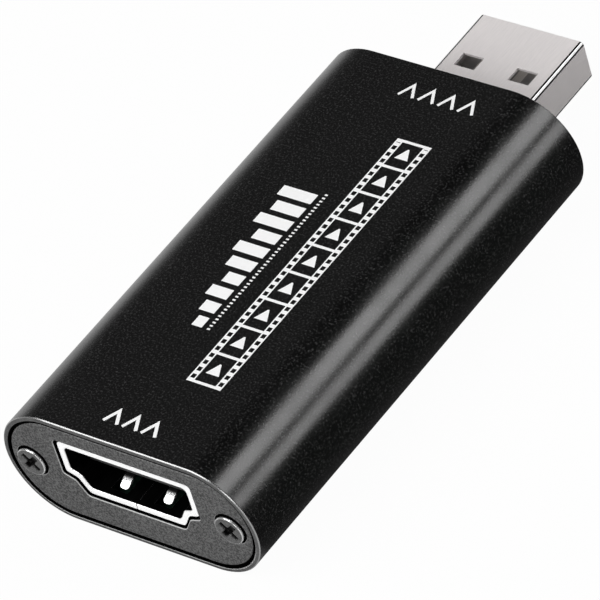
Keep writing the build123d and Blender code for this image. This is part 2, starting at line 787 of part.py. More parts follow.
choke_first_x = -(choke_count - 1) * choke_pitch / 2
choke_places = [(choke_first_x + n * choke_pitch, choke_y) for n in range(choke_count)]
surge_places = [(side * surge_array_spacing / 2, choke_y) for side in (-1, 1)]
bulk_places = [beside_chip(p) for p in bulk_capacitor_place_shares]
small_places = [behind_chip(p) for p in small_capacitor_place_shares]
small_places += [beside_chip(p) for p in beside_chip_capacitor_place_shares]
resistor_places = [behind_chip(p) for p in small_resistor_place_shares]
board_blocks(bulk_capacitor_size, bulk_places, "bulk_capacitors")
board_blocks(small_capacitor_size, small_places, "small_capacitors")
board_blocks(small_resistor_size, resistor_places, "small_resistors")
board_blocks(choke_size, choke_places, "signal_chokes")
board_blocks(surge_array_size, surge_places, "surge_arrays")
board_blocks(fuse_size, [behind_chip(fuse_place_shares)], "supply_fuse")
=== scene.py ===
"""Video capture box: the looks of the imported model, under soft studio light.

Lengths are in metres in the part's own frame: X runs across the box, Y from the socket to the plug, Z up.
"""

import math

import bpy
import numpy as np
from mathutils import Matrix, Vector


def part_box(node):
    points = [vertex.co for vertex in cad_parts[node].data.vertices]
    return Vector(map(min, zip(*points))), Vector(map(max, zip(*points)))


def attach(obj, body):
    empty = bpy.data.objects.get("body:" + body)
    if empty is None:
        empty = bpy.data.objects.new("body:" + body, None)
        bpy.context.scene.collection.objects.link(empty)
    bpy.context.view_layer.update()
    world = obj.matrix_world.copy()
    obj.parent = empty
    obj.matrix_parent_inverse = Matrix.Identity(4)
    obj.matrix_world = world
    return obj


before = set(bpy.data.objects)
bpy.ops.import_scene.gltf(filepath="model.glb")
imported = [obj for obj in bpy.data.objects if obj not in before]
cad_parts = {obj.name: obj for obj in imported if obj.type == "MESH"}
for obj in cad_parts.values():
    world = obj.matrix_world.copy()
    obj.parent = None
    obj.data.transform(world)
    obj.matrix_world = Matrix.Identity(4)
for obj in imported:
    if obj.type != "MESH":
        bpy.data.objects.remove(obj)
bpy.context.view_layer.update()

mm = 0.001
body = "box"

# Sizes read from the solids
case_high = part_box("housing")[1]
case_top = case_high.z
case_radius = case_top / 2
flat_half_width = case_high.x - case_radius
case_half_length = case_high.y
socket_mouth_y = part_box("socket_shell")[0].y
plate_low, plate_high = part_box("input_end_plate")
plate_face = -plate_low.y
plate_radius = (plate_high.z - plate_low.z) / 2
screw_low, screw_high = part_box("input_plate_screws")
screw_face = -screw_low.y
screw_radius = (screw_high.z - screw_low.z) / 2
screw_x = screw_high.x - screw_radius
screw_z = screw_high.z - screw_radius
plug_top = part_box("plug_shell")[1].z
plug_tip_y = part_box("plug_shell")[1].y

# Sizes of the looks
case_chamfer = 0.1 * mm
chamfer_margin = 0.002 * mm
rim_inside = case_radius - 0.47 * mm
rim_line = 0.07 * mm
rim_line_fade = 0.02 * mm
plate_edge_in = 0.12 * mm
spring_top = 2.2 * mm
plug_half_width = 6.0 * mm
plug_half_height = 2.25 * mm
plug_fold = 0.4 * mm
ink_thickness = 0.012 * mm


# Shader building blocks

def fill(node, **inputs):
    """Fills a node's inputs. A value is a socket to join, or a number or colour for the input itself.

    An input is given by its name, with _ for each space, or by its number after a _.
    """
    for name, value in inputs.items():
        socket = node.inputs[int(name[1:]) if name[0] == "_" else name.replace("_", " ")]
        if isinstance(value, bpy.types.NodeSocket):
            node.id_data.links.new(value, socket)
        else:
            socket.default_value = value


def add_node(tree, kind, settings=None, **inputs):
    """Adds a node with its settings, and fills its inputs."""
    node = tree.nodes.new(kind)
    for name, value in (settings or {}).items():
        setattr(node, name, value)
    fill(node, **inputs)
    return node


def calc(tree, operation, first, second=0.0, third=0.0):
    """Result of one Math node."""
    settings = {"operation": operation}
    return add_node(tree, "ShaderNodeMath", settings, _0=first, _1=second, _2=third).outputs[0]


def product(tree, first, *factors):
    """Product of two or more values."""
    for factor in factors:
        first = calc(tree, "MULTIPLY", first, factor)
    return first


def inverse(tree, mask):
    """Mask that is 1 where the given one is 0."""
    return calc(tree, "SUBTRACT", 1.0, mask)


def ramp(tree, value, start, end, low=0.0, high=1.0):
    """Smooth step of value from low at start to high at end."""
    settings = {"interpolation_type": "SMOOTHSTEP"}
    step = add_node(tree, "ShaderNodeMapRange", settings, _0=value, _1=start, _2=end, _3=low, _4=high)
    return step.outputs[0]


def by_mask(tree, mask, low, high):
    """Value that is low where the mask is 0 and high where it is 1."""
    return ramp(tree, mask, 0.0, 1.0, low, high)


def by_noise(tree, noise, low=0.0, high=1.0, spread=0.2):
    """Value that goes from low to high as the noise rises through its middle, by spread on either side."""
    return ramp(tree, noise, 0.5 - spread, 0.5 + spread, low, high)


def mix_values(tree, share, first, second):
    """First value turned into the second by share."""
    return add_node(tree, "ShaderNodeMix", {"data_type": "FLOAT"}, _0=share, _2=first, _3=second).outputs[0]


def mix_normals(tree, share, first, second):
    """First normal turned into the second by share."""
    return add_node(tree, "ShaderNodeMix", {"data_type": "VECTOR"}, _0=share, _4=first, _5=second).outputs[1]


def mix_colours(tree, share, first, second):
    """First colour turned into the second by share."""
    return add_node(tree, "ShaderNodeMix", {"data_type": "RGBA"}, _0=share, _6=first, _7=second).outputs[2]


def grey(value):
    """Plain grey."""
    return (value, value, value, 1.0)


def grey_from(tree, level):
    """Grey from a level that changes over the surface."""
    return add_node(tree, "ShaderNodeCombineColor", _0=level, _1=level, _2=level).outputs[0]


def darkened(colour, share):
    """Colour with a share of its light taken away."""
    return tuple((1 - share) * part for part in colour[:3]) + (1.0,)


def bump(tree, height, depth, normal=None, strength=1.0):
    """Normal disturbed by height, which stands for depth in mm."""
    inputs = {"Height": height, "Distance": depth * mm, "Strength": strength}
    if normal is not None:
        inputs["Normal"] = normal
    return add_node(tree, "ShaderNodeBump", **inputs).outputs[0]


def point_on_part(tree):
    """The point in the part's own frame."""
    return add_node(tree, "ShaderNodeTexCoord").outputs["Object"]


def place_on_part(tree):
    """Sockets X, Y and Z of the point in the part's own frame."""
    return add_node(tree, "ShaderNodeSeparateXYZ", Vector=point_on_part(tree)).outputs


def behind(tree, face, y):
    """How far the point lies behind an end face, on either end of the box."""
    return calc(tree, "SUBTRACT", face, calc(tree, "ABSOLUTE", y))


def beside(tree, value, distance):
    """How far the value lies beyond a distance from zero, on either side of it."""
    return calc(tree, "SUBTRACT", calc(tree, "ABSOLUTE", value), distance)


def length_of(tree, across, up):
    """Length of the run that goes across and up."""
    squares = [product(tree, run, run) for run in (across, up)]
    return calc(tree, "SQRT", calc(tree, "ADD", *squares))


def section_radius(tree, place):
    """How far the point is from the flat core of the case's section: case_radius all round its outside."""
    across = calc(tree, "MAXIMUM", beside(tree, place["X"], flat_half_width), 0.0)
    return length_of(tree, across, calc(tree, "SUBTRACT", place["Z"], case_radius))


# Shared shader groups

def new_group(name, inputs, outputs):
    """Empty shader group with named float inputs and named outputs.

    Returns the group, its input node and its output node.
    """
    group = bpy.data.node_groups.new(name, "ShaderNodeTree")
    for label, value in inputs.items():
        socket = group.interface.new_socket(label, in_out="INPUT", socket_type="NodeSocketFloat")
        socket.default_value = value
    for label, kind in outputs.items():
        group.interface.new_socket(label, in_out="OUTPUT", socket_type=kind)
    return group, group.nodes.new("NodeGroupInput"), group.nodes.new("NodeGroupOutput")


def blasted_grain_group():
    """Fine pits of a sand-blasted face, with a slow mottle. Grain and Mottle are their sizes in mm."""
    group, given, result = new_group(
        "blasted_grain",
        {"Grain": 0.1, "Mottle": 4.0},
        {"Pits": "NodeSocketFloat", "Mottle": "NodeSocketFloat"},
    )
    place = point_on_part(group)
    pit_scale = calc(group, "DIVIDE", 1 / mm, given.outputs["Grain"])
    mottle_scale = calc(group, "DIVIDE", 1 / mm, given.outputs["Mottle"])
    pits = add_node(group, "ShaderNodeTexNoise", Vector=place, Scale=pit_scale, Detail=3.0, Roughness=0.6)
    mottle = add_node(group, "ShaderNodeTexNoise", Vector=place, Scale=mottle_scale, Detail=2.0)
    fill(result, Pits=pits.outputs[0], Mottle=mottle.outputs[0])
    return group


def drawn_grain_group():
    """Streaks that rolling leaves in sheet, fine across and long along Y. Streak is their width in mm."""
    stretch = 25.0
    group, given, result = new_group("drawn_grain", {"Streak": 0.08}, {"Streaks": "NodeSocketFloat"})
    across = calc(group, "DIVIDE", 1 / mm, given.outputs["Streak"])
    along = calc(group, "DIVIDE", across, stretch)
    size = add_node(group, "ShaderNodeCombineXYZ", X=across, Y=along, Z=across).outputs[0]
    place = point_on_part(group)
    stretched = add_node(group, "ShaderNodeVectorMath", {"operation": "MULTIPLY"}, _0=place, _1=size)
    streaks = add_node(group, "ShaderNodeTexNoise", Vector=stretched.outputs[0], Scale=1.0, Detail=2.0)
    fill(result, Streaks=streaks.outputs[0])
    return group


def rounded_edge_group():
    """Rounded normal of edges, and a mask of them from how far it turns. Width is in mm.

    The mask starts where the cosine of the turn is 0.995, and is full at 0.8.
    """
    outputs = {"Edge": "NodeSocketFloat", "Normal": "NodeSocketVector"}
    group, given, result = new_group("rounded_edge", {"Width": 0.1}, outputs)
    radius = product(group, given.outputs["Width"], mm)
    rounded = add_node(group, "ShaderNodeBevel", {"samples": 6}, Radius=radius).outputs[0]
    flat = add_node(group, "ShaderNodeNewGeometry").outputs["Normal"]
    turn = add_node(group, "ShaderNodeVectorMath", {"operation": "DOT_PRODUCT"}, _0=rounded, _1=flat)
    fill(result, Edge=ramp(group, turn.outputs["Value"], 0.995, 0.8), Normal=rounded)
    return group


groups = {"grain": blasted_grain_group(), "streaks": drawn_grain_group(), "edge": rounded_edge_group()}


def use_group(tree, name, **inputs):
    """Outputs of a shared group that is placed in a material's tree."""
    return add_node(tree, "ShaderNodeGroup", {"node_tree": groups[name]}, **inputs).outputs


def cleared_tree(owner):
    """Empty shader tree of a material or world."""
    owner.use_nodes = True
    owner.node_tree.nodes.clear()
    return owner.node_tree


def new_material(name):
    """Material with nothing in its tree but the output and a Principled shader."""
    material = bpy.data.materials.new(name)
    tree = cleared_tree(material)
    shader = add_node(tree, "ShaderNodeBsdfPrincipled")
    add_node(tree, "ShaderNodeOutputMaterial", Surface=shader.outputs[0])
    return material, tree, shader


# Finishes

# Deep black of painted shade, for gaps and hollows
shade_black = grey(0.002)


def anodised_case():
    """Black anodised, blasted aluminium, with chamfers that are cut bright after anodising.

    The rims round the end plates are plain. A painted highlight runs along a rim's inner edge where that
    faces up, and the rim at the plug is darker than the one at the socket. The inside is a deep black of
    painted shade.
    """
    inside_from_end = 0.03 * mm
    facing_up = (0.05, 0.35)
    pit_levels = (0.49, 0.72)
    speck_light = 0.035
    rim_dark, rim_light, lip_highlight_grey = 0.004, 0.036, 0.35
    plug_rim_share = 0.25
    chamfer_light, chamfer_metal = 0.3, 0.8
    plain_roughness = 0.35
    material, tree, shader = new_material("anodised_case")
    grain = use_group(tree, "grain", Grain=0.2, Mottle=5.0)
    edge = use_group(tree, "edge", Width=0.12)
    broad_edge = use_group(tree, "edge", Width=0.3)
    place = place_on_part(tree)
    radius = section_radius(tree, place)
    from_end = behind(tree, case_half_length, place["Y"])

    near_end = calc(tree, "LESS_THAN", from_end, case_chamfer + chamfer_margin)
    near_outside = calc(tree, "GREATER_THAN", radius, case_radius - case_chamfer - chamfer_margin)
    on_chamfer = product(tree, near_end, near_outside)
    on_end = calc(tree, "LESS_THAN", from_end, chamfer_margin)
    on_rim = product(tree, on_end, inverse(tree, on_chamfer))
    # Painted shade: past the rims the inside is a deep black, as the shade in the gap round the plates
    past_end = calc(tree, "GREATER_THAN", from_end, inside_from_end)
    hollow_shade = product(tree, past_end, calc(tree, "LESS_THAN", radius, rim_inside))
    upward = add_node(tree, "ShaderNodeSeparateXYZ", Vector=broad_edge["Normal"]).outputs["Z"]
    # Painted highlight: a pale line along the rim's inner edge, only where that edge faces up
    painted_lip_highlight = ramp(tree, radius, rim_inside + rim_line + rim_line_fade, rim_inside + rim_line)
    painted_lip_highlight = product(tree, painted_lip_highlight, on_rim, ramp(tree, upward, *facing_up))

    speck = ramp(tree, grain["Pits"], *pit_levels, 0.0, speck_light)
    rim_speck = by_noise(tree, grain["Pits"], rim_dark, rim_light, spread=0.15)
    rim_level = calc(tree, "ADD", rim_speck, product(tree, painted_lip_highlight, lip_highlight_grey))
    rim_level = product(tree, rim_level, ramp(tree, place["Y"], -1 * mm, 1 * mm, 1.0, plug_rim_share))
    colour = mix_colours(tree, on_rim, grey_from(tree, speck), grey_from(tree, rim_level))
    colour = mix_colours(tree, on_chamfer, colour, grey(chamfer_light))
    rough = by_noise(tree, grain["Mottle"], 0.22, 0.27)
    normal = mix_normals(tree, painted_lip_highlight, edge["Normal"], broad_edge["Normal"])
    fill(
        shader,
        Base_Color=mix_colours(tree, hollow_shade, colour, shade_black),
        Metallic=calc(tree, "MAXIMUM", product(tree, on_chamfer, chamfer_metal), hollow_shade),
        Roughness=calc(tree, "MULTIPLY_ADD", calc(tree, "MAXIMUM", on_rim, hollow_shade), plain_roughness, rough),
        IOR=1.72,
        Normal=bump(tree, grain["Pits"], 0.007, normal, inverse(tree, on_chamfer)),
    )
    return material


def blasted_plate(name, dark, light, bevel_highlight_grey):
    """Blasted end plate: pits speckle its face, and a painted highlight lies as a pale line on its bevels.

    The painted line is fainter round the plate's outside, and behind the bevels the plate is painted black
    as shade.
    """
    bevel_depth = (0.004 * mm, 0.012 * mm)
    gap_shade_depth = (0.085 * mm, 0.1 * mm)
    outer_loss = 0.9
    material, tree, shader = new_material(name)
    grain = use_group(tree, "grain", Grain=0.2, Mottle=3.0)
    edge = use_group(tree, "edge", Width=0.05)
    place = place_on_part(tree)
    depth = behind(tree, plate_face, place["Y"])
    # Painted highlight: a pale line on the bevels, fainter round the plate's outside
    outer_edge = calc(tree, "GREATER_THAN", section_radius(tree, place), plate_radius - plate_edge_in)
    faint_outside = inverse(tree, product(tree, outer_edge, outer_loss))
    line = product(tree, ramp(tree, depth, *bevel_depth), faint_outside)
    # Painted shade: behind the bevels the plate is a deep black, as the shade in the gap round it
    gap_shade = ramp(tree, depth, *gap_shade_depth)
    colour = mix_colours(tree, by_noise(tree, grain["Pits"], spread=0.15), grey(dark), grey(light))
    colour = mix_colours(tree, line, colour, grey(bevel_highlight_grey))
    fill(
        shader,
        Base_Color=mix_colours(tree, gap_shade, colour, shade_black),
        Metallic=by_mask(tree, gap_shade, 0.25, 1.0),
        Roughness=by_noise(tree, grain["Mottle"], 0.5, 0.62),
        Normal=bump(tree, grain["Pits"], 0.014, edge["Normal"]),
    )
    return material


def screw_steel():
    """Plated pan heads: a dull face, a smooth wall with painted shade at its foot in its seat, and painted
    shade in the cross recess.
    """
    face_limit = (0.84 * screw_radius, 0.8 * screw_radius)
    recess_depth = (0.06 * mm, 0.3 * mm)
    wall_from = screw_radius - 0.12 * mm
    wall_full = screw_radius - 0.04 * mm
    foot_shade_depth = (0.15 * mm, 0.22 * mm)
    face_dark, face_light = 0.05, 0.11
    wall_light, foot_shade_grey, recess_shade_grey = 0.6, 0.01, 0.02
    wall_polish = -0.16
    material, tree, shader = new_material("screw_plating")
    grain = use_group(tree, "grain", Grain=0.15, Mottle=0.8)
    edge = use_group(tree, "edge", Width=0.24)
    place = place_on_part(tree)
    across = beside(tree, place["X"], screw_x)
    radius = length_of(tree, across, calc(tree, "SUBTRACT", place["Z"], screw_z))
    depth = behind(tree, screw_face, place["Y"])
    # Painted shade: the cross recess is dark, deeper than its rim
    recess_shade = product(tree, ramp(tree, radius, *face_limit), ramp(tree, depth, *recess_depth))
    wall = ramp(tree, radius, wall_from, wall_full)
    # Painted shade: the wall's foot in its seat is dark, as the shade in the gap round the head
    foot = product(tree, wall, ramp(tree, depth, *foot_shade_depth))
    speck = by_noise(tree, grain["Pits"], spread=0.15)
    colour = mix_colours(tree, speck, grey(face_dark), grey(face_light))
    colour = mix_colours(tree, wall, colour, grey(wall_light))
    colour = mix_colours(tree, foot, colour, grey(foot_shade_grey))
    rough = by_noise(tree, grain["Mottle"], 0.3, 0.38)
    fill(
        shader,
        Base_Color=mix_colours(tree, recess_shade, colour, grey(recess_shade_grey)),
        Metallic=0.85,
        Roughness=calc(tree, "MULTIPLY_ADD", wall, wall_polish, rough),
        Normal=bump(tree, grain["Pits"], 0.003, edge["Normal"], inverse(tree, wall)),
    )
    return material


def sheet_metal(name, colour, roughness, metallic, streak):
    """Rolled or plated metal. Streaks along Y vary its colour, and a mottle varies its roughness."""
    material, tree, shader = new_material(name)
    streaks = use_group(tree, "streaks", Streak=streak)["Streaks"]
    grain = use_group(tree, "grain", Grain=0.3, Mottle=2.5)
    edge = use_group(tree, "edge", Width=0.09)
    fill(
        shader,
        Base_Color=mix_colours(tree, by_noise(tree, streaks), darkened(colour, 0.12), colour),
        Metallic=metallic,
        Roughness=by_noise(tree, grain["Mottle"], roughness * 0.85, roughness * 1.15),
        Normal=bump(tree, streaks, 0.0015, edge["Normal"]),
    )
    return material


def spring_plating():
    """Bright plating of the springs, with painted shade behind their tops, deeper in the socket."""
    shaded_depth = (spring_top, spring_top + 0.25 * mm)
    material, tree, shader = new_material("spring_plating")
    streaks = use_group(tree, "streaks", Streak=0.06)["Streaks"]
    edge = use_group(tree, "edge", Width=0.09)
    depth = calc(tree, "SUBTRACT", place_on_part(tree)["Y"], socket_mouth_y)
    # Painted shade: the springs go near black behind their tops, deeper in the socket
    shaded = ramp(tree, depth, *shaded_depth)
    bright = mix_colours(tree, by_noise(tree, streaks), grey(0.8), grey(0.9))
    fill(
        shader,
        Base_Color=mix_colours(tree, shaded, bright, grey(0.04)),
        Metallic=0.8,
        Roughness=by_noise(tree, streaks, 0.15, 0.21, spread=0.5),
        Normal=bump(tree, streaks, 0.0015, edge["Normal"]),
    )
    return material


def socket_plating():
    """Bright plating on the socket's lip. Inside, the sheet is painted dark as shade, with painted glints on
    its deeper edges, such as its windows'.
    """
    lip_end = (0.04 * mm, 0.09 * mm)
    painted_glint_from = (0.5 * mm, 0.6 * mm)
    material, tree, shader = new_material("socket_plating")
    streaks = use_group(tree, "streaks", Streak=0.08)["Streaks"]
    edge = use_group(tree, "edge", Width=0.02)
    depth = calc(tree, "SUBTRACT", place_on_part(tree)["Y"], socket_mouth_y)
    # Painted shade: past the lip the sheet is near black, as the socket's shaded inside
    inside = ramp(tree, depth, *lip_end)
    # Painted glint: a pale line on the sheet's edges deeper in, such as those of its windows
    painted_glint = product(tree, ramp(tree, depth, *painted_glint_from), edge["Edge"])
    bright = mix_colours(tree, by_noise(tree, streaks), grey(0.9), grey(0.96))
    inside_shade = mix_colours(tree, by_noise(tree, streaks), grey(0.003), grey(0.009))
    inside_shade = mix_colours(tree, painted_glint, inside_shade, grey(0.5))
    fill(
        shader,
        Base_Color=mix_colours(tree, inside, bright, inside_shade),
        Metallic=by_mask(tree, inside, 0.4, 1.0),
        Roughness=by_mask(tree, inside, 0.22, 0.5),
        Normal=bump(tree, streaks, 0.001, edge["Normal"]),
    )
    return material


def plug_plating():
    """Matt nickel on the plug's flats. Its folds are smooth, so each mirrors a lamp as a bright line."""
    nickel_dark = (0.86, 0.82, 0.815, 1.0)
    nickel_light = (0.93, 0.885, 0.88, 1.0)
    fold_light, fold_roughness = 0.42, 0.3
    fold_fade = 0.02 * mm
    material, tree, shader = new_material("plug_plating")
    streaks = use_group(tree, "streaks", Streak=0.05)["Streaks"]
    grain = use_group(tree, "grain", Grain=0.3, Mottle=2.5)
    edge = use_group(tree, "edge", Width=0.05)
    place = place_on_part(tree)
    out_of_top = beside(tree, place["X"], plug_half_width - plug_fold)
    height = calc(tree, "SUBTRACT", place["Z"], plug_top - plug_half_height)
    out_of_side = beside(tree, height, plug_half_height - plug_fold)
    fold = ramp(tree, calc(tree, "MINIMUM", out_of_top, out_of_side), 0.0, fold_fade)
    flat = mix_colours(tree, by_noise(tree, streaks), nickel_dark, nickel_light)
    rough = by_noise(tree, grain["Mottle"], 0.3, 0.38)
    fill(
        shader,
        Base_Color=mix_colours(tree, fold, flat, grey(fold_light)),
        Metallic=by_mask(tree, fold, 0.2, 1.0),
        Roughness=product(tree, rough, by_mask(tree, fold, 1.0, fold_roughness)),
        Normal=bump(tree, streaks, 0.001, edge["Normal"]),
    )
    return material


def moulding(name, colour, roughness, fleck=0.15, grain_size=0.2, sheen=0.0):
    """Moulded or pressed body with a faint grain and softened edges."""
    material, tree, shader = new_material(name)
    grain = use_group(tree, "grain", Grain=grain_size, Mottle=2.0)
    edge = use_group(tree, "edge", Width=0.1)
    fill(
        shader,
        Base_Color=mix_colours(tree, by_noise(tree, grain["Pits"]), darkened(colour, fleck), colour),
        Roughness=by_noise(tree, grain["Mottle"], roughness * 0.85, roughness * 1.15),
        Coat_Weight=sheen,
        Normal=bump(tree, grain["Pits"], 0.004, edge["Normal"]),
    )
    return material


def white_tongue():
    """White moulded tongue of the plug. It greys towards the back as painted shade, where its contacts stand
    out lighter.
    """
    white_dark = (0.75, 0.74, 0.71, 1.0)
    white_light = (0.78, 0.77, 0.74, 1.0)
    shaded_grey = 0.36
    shaded_from_tip = (2.0 * mm, 5.0 * mm)
    material, tree, shader = new_material("white_moulding")
    grain = use_group(tree, "grain", Grain=0.2, Mottle=2.0)
    edge = use_group(tree, "edge", Width=0.1)
    from_tip = calc(tree, "SUBTRACT", plug_tip_y, place_on_part(tree)["Y"])
    # Painted shade: the white greys from the tip back, where the shell shades it
    shaded = ramp(tree, from_tip, *shaded_from_tip)
    white = mix_colours(tree, by_noise(tree, grain["Pits"]), white_dark, white_light)
    fill(
        shader,
        Base_Color=mix_colours(tree, shaded, white, grey(shaded_grey)),
        Roughness=by_noise(tree, grain["Mottle"], 0.3, 0.4),
        Normal=bump(tree, grain["Pits"], 0.004, edge["Normal"]),
    )
    return material


def laminate():
    """Green solder mask over glass cloth: a fine weave under a glossy coat."""
    mask_dark = (0.004, 0.012, 0.008, 1.0)
    mask_light = (0.006, 0.022, 0.013, 1.0)
    thread_scale = 420.0
    material, tree, shader = new_material("board_laminate")
    place = point_on_part(tree)
    warp = add_node(tree, "ShaderNodeTexWave", {"bands_direction": "X"}, Vector=place, Scale=thread_scale)
    weft = add_node(tree, "ShaderNodeTexWave", {"bands_direction": "Y"}, Vector=place, Scale=thread_scale)
    weave = product(tree, warp.outputs[0], weft.outputs[0])
    fill(
        shader,
        Base_Color=mix_colours(tree, ramp(tree, weave, 0.1, 0.8), mask_dark, mask_light),
        Roughness=ramp(tree, weave, 0.0, 1.0, 0.3, 0.38),
        Coat_Weight=0.4,
        Coat_Roughness=0.15,
        Normal=bump(tree, weave, 0.004),
    )
    return material


def print_ink():
    """Silk-screened white ink, a little uneven where the blasted face shows through."""
    thin_levels = (0.62, 0.8)
    full_white, thin_white = 0.93, 0.74
    material, tree, shader = new_material("white_print")
    grain = use_group(tree, "grain", Grain=0.12, Mottle=2.0)
    thin = ramp(tree, grain["Pits"], *thin_levels)
    fill(
        shader,
        Base_Color=mix_colours(tree, thin, grey(full_white), grey(thin_white)),
        Roughness=by_noise(tree, grain["Mottle"], 0.45, 0.6),
        Normal=bump(tree, grain["Pits"], 0.004),
    )
    return material


finishes = {
    "housing": anodised_case(),
    "input_end_plate": blasted_plate("blasted_plate", dark=0.004, light=0.104, bevel_highlight_grey=0.36),
    "output_end_plate": blasted_plate("black_plate", dark=0.006, light=0.03, bevel_highlight_grey=0.12),
    "plug_shell": plug_plating(),
    "socket_shell": socket_plating(),
    "spring": spring_plating(),
    "plate_screws": screw_steel(),
    "contacts": sheet_metal("contact_plating", (0.8, 0.66, 0.4, 1.0), 0.25, 0.9, streak=0.06),
    "socket_insulator": moulding("black_moulding", grey(0.012), 0.5),
    "plug_insulator": white_tongue(),
    "plug_contacts": sheet_metal("plug_contact_plating", (0.9, 0.88, 0.84, 1.0), 0.35, 0.35, streak=0.06),
    "circuit_board": laminate(),
    "chip": moulding("chip_moulding", grey(0.02), 0.6, fleck=0.4, grain_size=0.12),
    "leads": sheet_metal("lead_tin", grey(0.66), 0.35, 0.85, streak=0.05),
    "crystal_base": moulding("crystal_ceramic", (0.22, 0.2, 0.17, 1.0), 0.6),
    "crystal_lid": sheet_metal("lid_metal", (0.74, 0.7, 0.6, 1.0), 0.25, 0.9, streak=0.1),
    "ferrite": moulding("core_ferrite", grey(0.07), 0.7, fleck=0.4),
    "capacitors": moulding("capacitor_ceramic", (0.4, 0.27, 0.17, 1.0), 0.45),
    "small_resistors": moulding("resistor_film", grey(0.03), 0.35, sheen=0.3),
    "supply_fuse": moulding("fuse_body", (0.04, 0.2, 0.08, 1.0), 0.4, sheen=0.3),
}

# Nodes whose finish has another name than their own
shared_finish = {
    "input_plate_screws": "plate_screws",
    "output_plate_screws": "plate_screws",
    "lower_left_spring": "spring",
    "lower_right_spring": "spring",
    "upper_left_spring": "spring",
    "upper_right_spring": "spring",
    "socket_upper_contacts": "contacts",
    "socket_lower_contacts": "contacts",
    "capture_chip_body": "chip",
    "capture_chip_leads": "leads",
    "memory_chip": "chip",
    "voltage_regulator": "chip",
    "power_inductor": "ferrite",
    "bulk_capacitors": "capacitors",
    "small_capacitors": "capacitors",
    "signal_chokes": "ferrite",
    "surge_arrays": "chip",
}
for node_name, node_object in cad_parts.items():
    finish = finishes[shared_finish.get(node_name, node_name)]
    node_object.data.materials.clear()
    node_object.data.materials.append(finish)


# Printed marks on the top face, in mm

ink = print_ink()
meter_from, meter_to = -11.0, 8.3


def ruled_patch(first_edge, second_edge):
    """Flat surface between two edges of equally many points, as points and faces.

    It is (1 - v) * first(u) + v * second(u), with u along the edges and v from the first edge to the second.
    """
    first, second = np.asarray(first_edge, float), np.asarray(second_edge, float)
    count = len(first)
    points = np.concatenate([first, second])
    step = np.arange(count - 1)
    faces = np.stack([step, step + 1, step + 1 + count, step + count], axis=1)
    return points, faces


def ink_mark(name, patches):
    """One printed mark on the top face, laid as thin ink over flat patches of points and faces.

    Every face is turned to look up, and the ink's thickness is then given to all of them.
    """
    points, corners, start = [], [], 0
    for patch_points, patch_faces in patches:
        points.append(patch_points)
        corners.append(patch_faces + start)
        start += len(patch_points)
    flat = np.concatenate(points) * mm
    corners = np.concatenate(corners)
    side_1 = flat[corners[:, 1]] - flat[corners[:, 0]]
    side_2 = flat[corners[:, 3]] - flat[corners[:, 0]]
    looks_down = side_1[:, 0] * side_2[:, 1] - side_1[:, 1] * side_2[:, 0] < 0
    corners[looks_down] = corners[looks_down][:, ::-1]
    raised = np.column_stack([flat, np.full(len(flat), case_top + ink_thickness)])
    mesh = bpy.data.meshes.new(name)
    mesh.from_pydata(raised.tolist(), [], corners.tolist())
    mesh.materials.append(ink)
    mark = bpy.data.objects.new(name, mesh)
    bpy.context.scene.collection.objects.link(mark)
    thick = mark.modifiers.new("ink_thickness", "SOLIDIFY")
    thick.thickness = ink_thickness
    thick.offset = -1.0
    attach(mark, body)


def bar(x_from, x_to, y_from, y_to):
    """Upright rectangle: the ruled surface between two straight edges."""
    return ruled_patch([(x_from, y_from), (x_from, y_to)], [(x_to, y_from), (x_to, y_to)])


def stroke(points, width):
    """Ribbon along a path: each point moved half the width to either side along its mitred normal."""
    line = np.asarray(points, float)
    runs = np.diff(line, axis=0)
    runs /= np.linalg.norm(runs, axis=1)[:, None]
    sides = np.column_stack([-runs[:, 1], runs[:, 0]])
    before, after = np.vstack([sides[:1], sides]), np.vstack([sides, sides[-1:]])
    mitre = before + after
    mitre /= (mitre * before).sum(axis=1)[:, None]
    return ruled_patch(line + mitre * width / 2, line - mitre * width / 2)


def film_rail(x_from, x_to, y_from, y_to, count, line):
    """Perforated rail of a film strip: two lines along Y, and the bars that count square holes leave."""
    pitch = (y_to - y_from) / count
    between = pitch * 0.45
    rail = [bar(x_from, x_from + line, y_from, y_to), bar(x_to - line, x_to, y_from, y_to)]
    for n in range(count):
        start = y_from + n * pitch
        rail.append(bar(x_from + line, x_to - line, start, start + between))
    rail.append(bar(x_from + line, x_to - line, y_to - between, y_to))
    return rail


def play_sign(x_middle, y_middle, size):
    """Wedge that points along +Y: the ruled surface from its wide foot to its blunt tip."""
    foot, tip = y_middle - size * 0.42, y_middle + size * 0.5
    half, blunt = size / 2, size * 0.05
    wide = [(x_middle - half, foot), (x_middle + half, foot)]
    return ruled_patch(wide, [(x_middle - blunt, tip), (x_middle + blunt, tip)])


def chevrons(x_from, x_to, y_middle, count, width):
    """Row of arrowheads that point along +Y, side by side across the box."""
    height = 1.9
    low, high = y_middle - height / 2 + width / 2, y_middle + height / 2 - width / 2
    pitch = (x_to - x_from) / count
    half = pitch * 0.36
    row = []
    for n in range(count):
        middle = x_from + pitch * (n + 0.5)
        row.append(stroke([(middle - half, low), (middle, high), (middle + half, low)], width))
    return row


def level_bars():
    """Row of bars along Y that differ in length, as a level meter has."""
    shares = (0.3, 0.45, 0.62, 0.5, 0.75, 0.9, 0.7, 1.0, 0.85, 1.0)
    foot_x, full_length = -1.2, 3.9
    width, pitch = 1.3, 1.935
    row = []
    for n, share in enumerate(shares):
        start = meter_from + n * pitch
        row.append(bar(foot_x - full_length * share, foot_x, start, start + width))
    return row


def scale_ticks():
    """Row of short ticks along Y, beside the feet of the level bars."""
    x_from, x_to = -0.62, -0.3
    width, pitch = 0.18, 0.45
    return [bar(x_from, x_to, start, start + width) for start in np.arange(meter_from, meter_to, pitch)]


